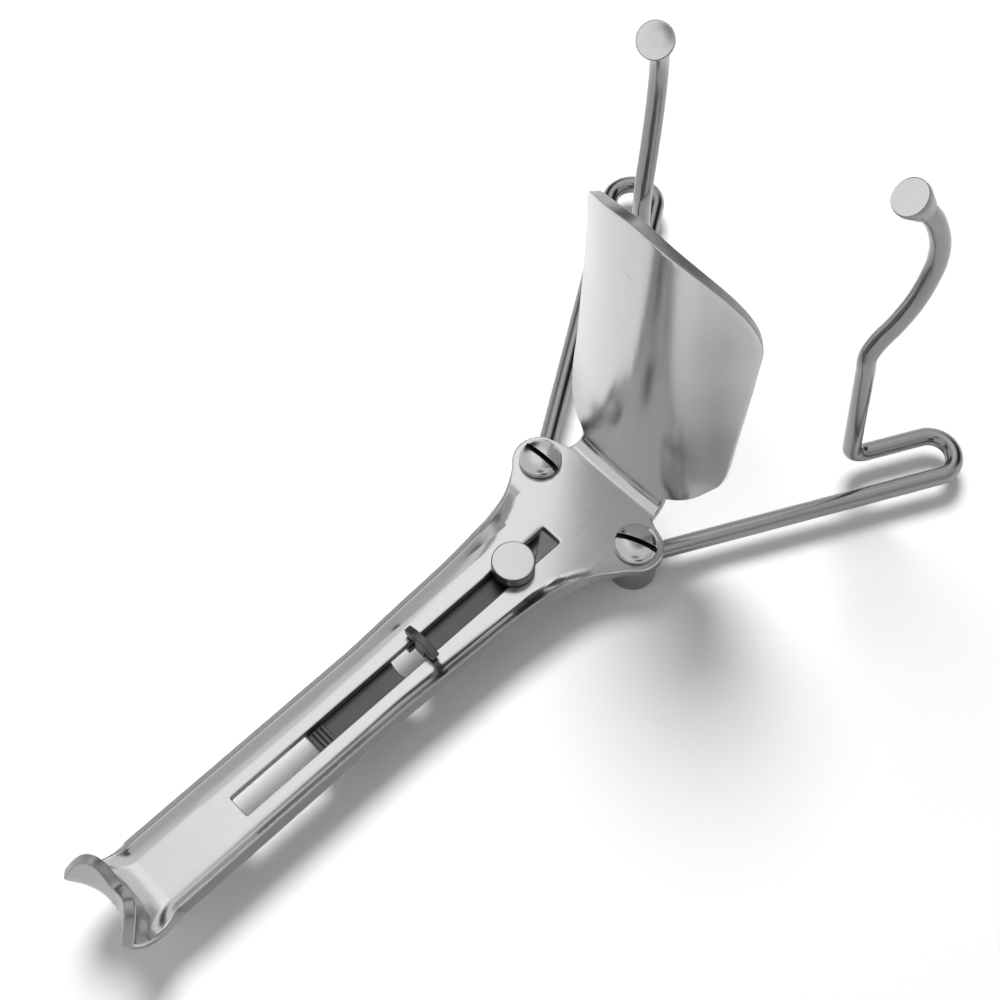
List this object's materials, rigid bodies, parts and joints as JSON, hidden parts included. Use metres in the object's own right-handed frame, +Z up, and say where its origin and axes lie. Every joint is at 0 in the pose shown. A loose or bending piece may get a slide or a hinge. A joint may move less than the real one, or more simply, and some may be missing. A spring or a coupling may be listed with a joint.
{
  "type": "vaginal speculum",
  "caption": "Self-retaining vaginal speculum with a broad trough blade, slotted handle with a thumb hook, and wire side arms that swing open as the slide moves.",
  "frame": {"origin": "centre of the footprint, on the surface the instrument lies on, below the flat of the handle", "axes": "+X from the thumb hook to the blade, +Y to the instrument's left, +Z up, out of the handle's upper face"},
  "size_m": [0.2089, 0.1102, 0.1063],
  "materials": {
    "steel_sheet": "satin",
    "steel_slide_bar": "satin",
    "steel_slide_knob": "polished",
    "steel_slide_nut": "satin",
    "steel_left_crank_post": "satin",
    "steel_right_crank_post": "satin",
    "steel_left_pivot_screw": "polished",
    "steel_right_pivot_screw": "polished",
    "steel_left_arm_wire": "polished",
    "steel_right_arm_wire": "polished",
    "steel_left_tip_cap": "polished",
    "steel_right_tip_cap": "polished"
  },
  "bodies": {
    "handle": {"blade_handle": "steel_sheet"},
    "slide": {"slide_bar": "steel_slide_bar", "slide_knob": "steel_slide_knob", "slide_nut": "steel_slide_nut"},
    "left_arm": {"left_crank_post": "steel_left_crank_post", "left_pivot_screw": "steel_left_pivot_screw", "left_arm_wire": "steel_left_arm_wire", "left_tip_cap": "steel_left_tip_cap"},
    "right_arm": {"right_crank_post": "steel_right_crank_post", "right_pivot_screw": "steel_right_pivot_screw", "right_arm_wire": "steel_right_arm_wire", "right_tip_cap": "steel_right_tip_cap"}
  },
  "joints": [
    {"name": "slide_travel", "type": "slide", "parent": "handle", "child": "slide", "axis": [1, 0, 0], "range_m": [-0.006, 0.006]},
    {"name": "left_arm_swing", "type": "hinge", "parent": "handle", "child": "left_arm", "pos_m": [0.0276, 0.0098, 0.0064], "axis": [0, 0, 1], "range_deg": [-7, 7]},
    {"name": "right_arm_swing", "type": "hinge", "parent": "handle", "child": "right_arm", "pos_m": [0.0276, -0.0192, 0.0064], "axis": [0, 0, 1], "range_deg": [-7, 7]}
  ],
  "couplings": [
    {"joint": "left_arm_swing", "follows": "slide_travel", "rad_per_m": 20.237},
    {"joint": "right_arm_swing", "follows": "slide_travel", "rad_per_m": -20.237}
  ]
}
